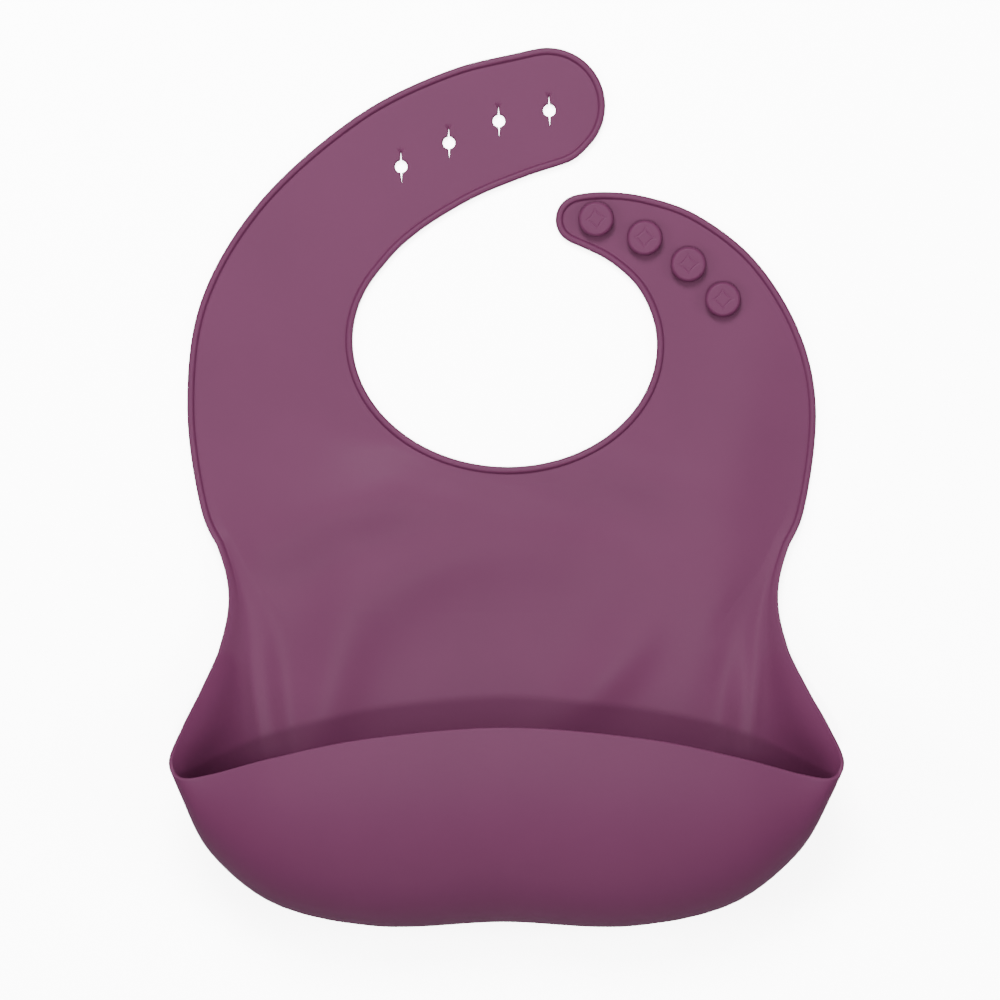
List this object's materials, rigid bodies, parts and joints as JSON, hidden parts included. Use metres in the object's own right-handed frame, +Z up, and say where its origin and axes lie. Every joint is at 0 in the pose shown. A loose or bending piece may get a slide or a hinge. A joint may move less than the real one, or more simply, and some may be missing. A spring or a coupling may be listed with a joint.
{
  "type": "silicone bib",
  "caption": "Soft moulded baby bib with a deep catching pocket and a neck band that closes with studs in slotted holes.",
  "frame": {"origin": "flat underside of the chest panel, on the centre line of the neck opening, 18 mm below the opening's lower edge", "axes": "+X across the bib towards the strap with the studs, +Y from the pocket up to the neck straps, +Z up from the table out of the front of the bib; the bib lies open on its back"},
  "size_m": [0.2273, 0.3044, 0.0489],
  "materials": {
    "panel_silicone": "satin moulded silicone",
    "strap_silicone": "satin moulded silicone",
    "stud_silicone": "satin moulded silicone",
    "gusset_silicone": "satin moulded silicone, in shade",
    "wall_silicone": "satin moulded silicone"
  },
  "bodies": {
    "chest": {"chest_panel": "panel_silicone"},
    "hole_strap_root": {"hole_strap_shoulder": "strap_silicone"},
    "hole_strap_mid": {"hole_strap_middle": "strap_silicone"},
    "hole_strap_end": {"hole_strap_tip": "strap_silicone"},
    "stud_strap_root": {"stud_strap_shoulder": "strap_silicone"},
    "stud_strap_mid": {"stud_strap_middle": "strap_silicone"},
    "stud_strap_end": {"stud_strap_tip": "strap_silicone", "stud_1": "stud_silicone", "stud_2": "stud_silicone", "stud_3": "stud_silicone", "stud_4": "stud_silicone"},
    "pocket": {"pocket_back": "panel_silicone", "pocket_side_left": "gusset_silicone", "pocket_side_right": "gusset_silicone", "pocket_bottom": "wall_silicone"},
    "pocket_front": {"pocket_front_wall": "wall_silicone"}
  },
  "joints": [
    {"name": "hole_strap_bend", "type": "hinge", "parent": "chest", "child": "hole_strap_root", "pos_m": [-0.0819, 0.0444, 0.0026], "axis": [0.9198, 0.3923, 0], "range_deg": [0, 51.6]},
    {"name": "hole_strap_bend_middle", "type": "hinge", "parent": "hole_strap_root", "child": "hole_strap_mid", "pos_m": [-0.0785, 0.0785, 0.0026], "axis": [0.9785, -0.2062, 0], "range_deg": [0, 60.8]},
    {"name": "hole_strap_bend_end", "type": "hinge", "parent": "hole_strap_mid", "child": "hole_strap_end", "pos_m": [-0.0585, 0.1083, 0.0026], "axis": [0.8018, -0.5976, 0], "range_deg": [0, 4.1]},
    {"name": "stud_strap_bend", "type": "hinge", "parent": "chest", "child": "stud_strap_root", "pos_m": [0.0743, 0.0122, 0.0026], "axis": [0.9033, -0.4289, 0], "range_deg": [0, 32.9]},
    {"name": "stud_strap_bend_middle", "type": "hinge", "parent": "stud_strap_root", "child": "stud_strap_mid", "pos_m": [0.0783, 0.0388, 0.0026], "axis": [0.9799, -0.1994, 0], "range_deg": [0, 35.1]},
    {"name": "stud_strap_bend_end", "type": "hinge", "parent": "stud_strap_mid", "child": "stud_strap_end", "pos_m": [0.076, 0.0628, 0.0026], "axis": [0.9968, -0.0802, 0], "range_deg": [0, 35]},
    {"name": "waist_fold", "type": "hinge", "parent": "chest", "child": "pocket", "pos_m": [0, -0.022, 0.0026], "axis": [-1, 0, 0], "range_deg": [0, 90]},
    {"name": "pocket_press", "type": "slide", "parent": "pocket", "child": "pocket_front", "axis": [0, 0, -1], "range_m": [0, 0.024], "stiffness_N_per_m": 80, "springref_m": -0.005, "deforming": ["pocket_side_left", "pocket_side_right", "pocket_bottom"]}
  ],
  "couplings": [
    {"joint": "hole_strap_bend_middle", "follows": "hole_strap_bend", "ratio": 1.176},
    {"joint": "hole_strap_bend_end", "follows": "hole_strap_bend", "ratio": 0.078},
    {"joint": "stud_strap_bend_middle", "follows": "stud_strap_bend", "ratio": 1.064},
    {"joint": "stud_strap_bend_end", "follows": "stud_strap_bend", "ratio": 1.061}
  ]
}
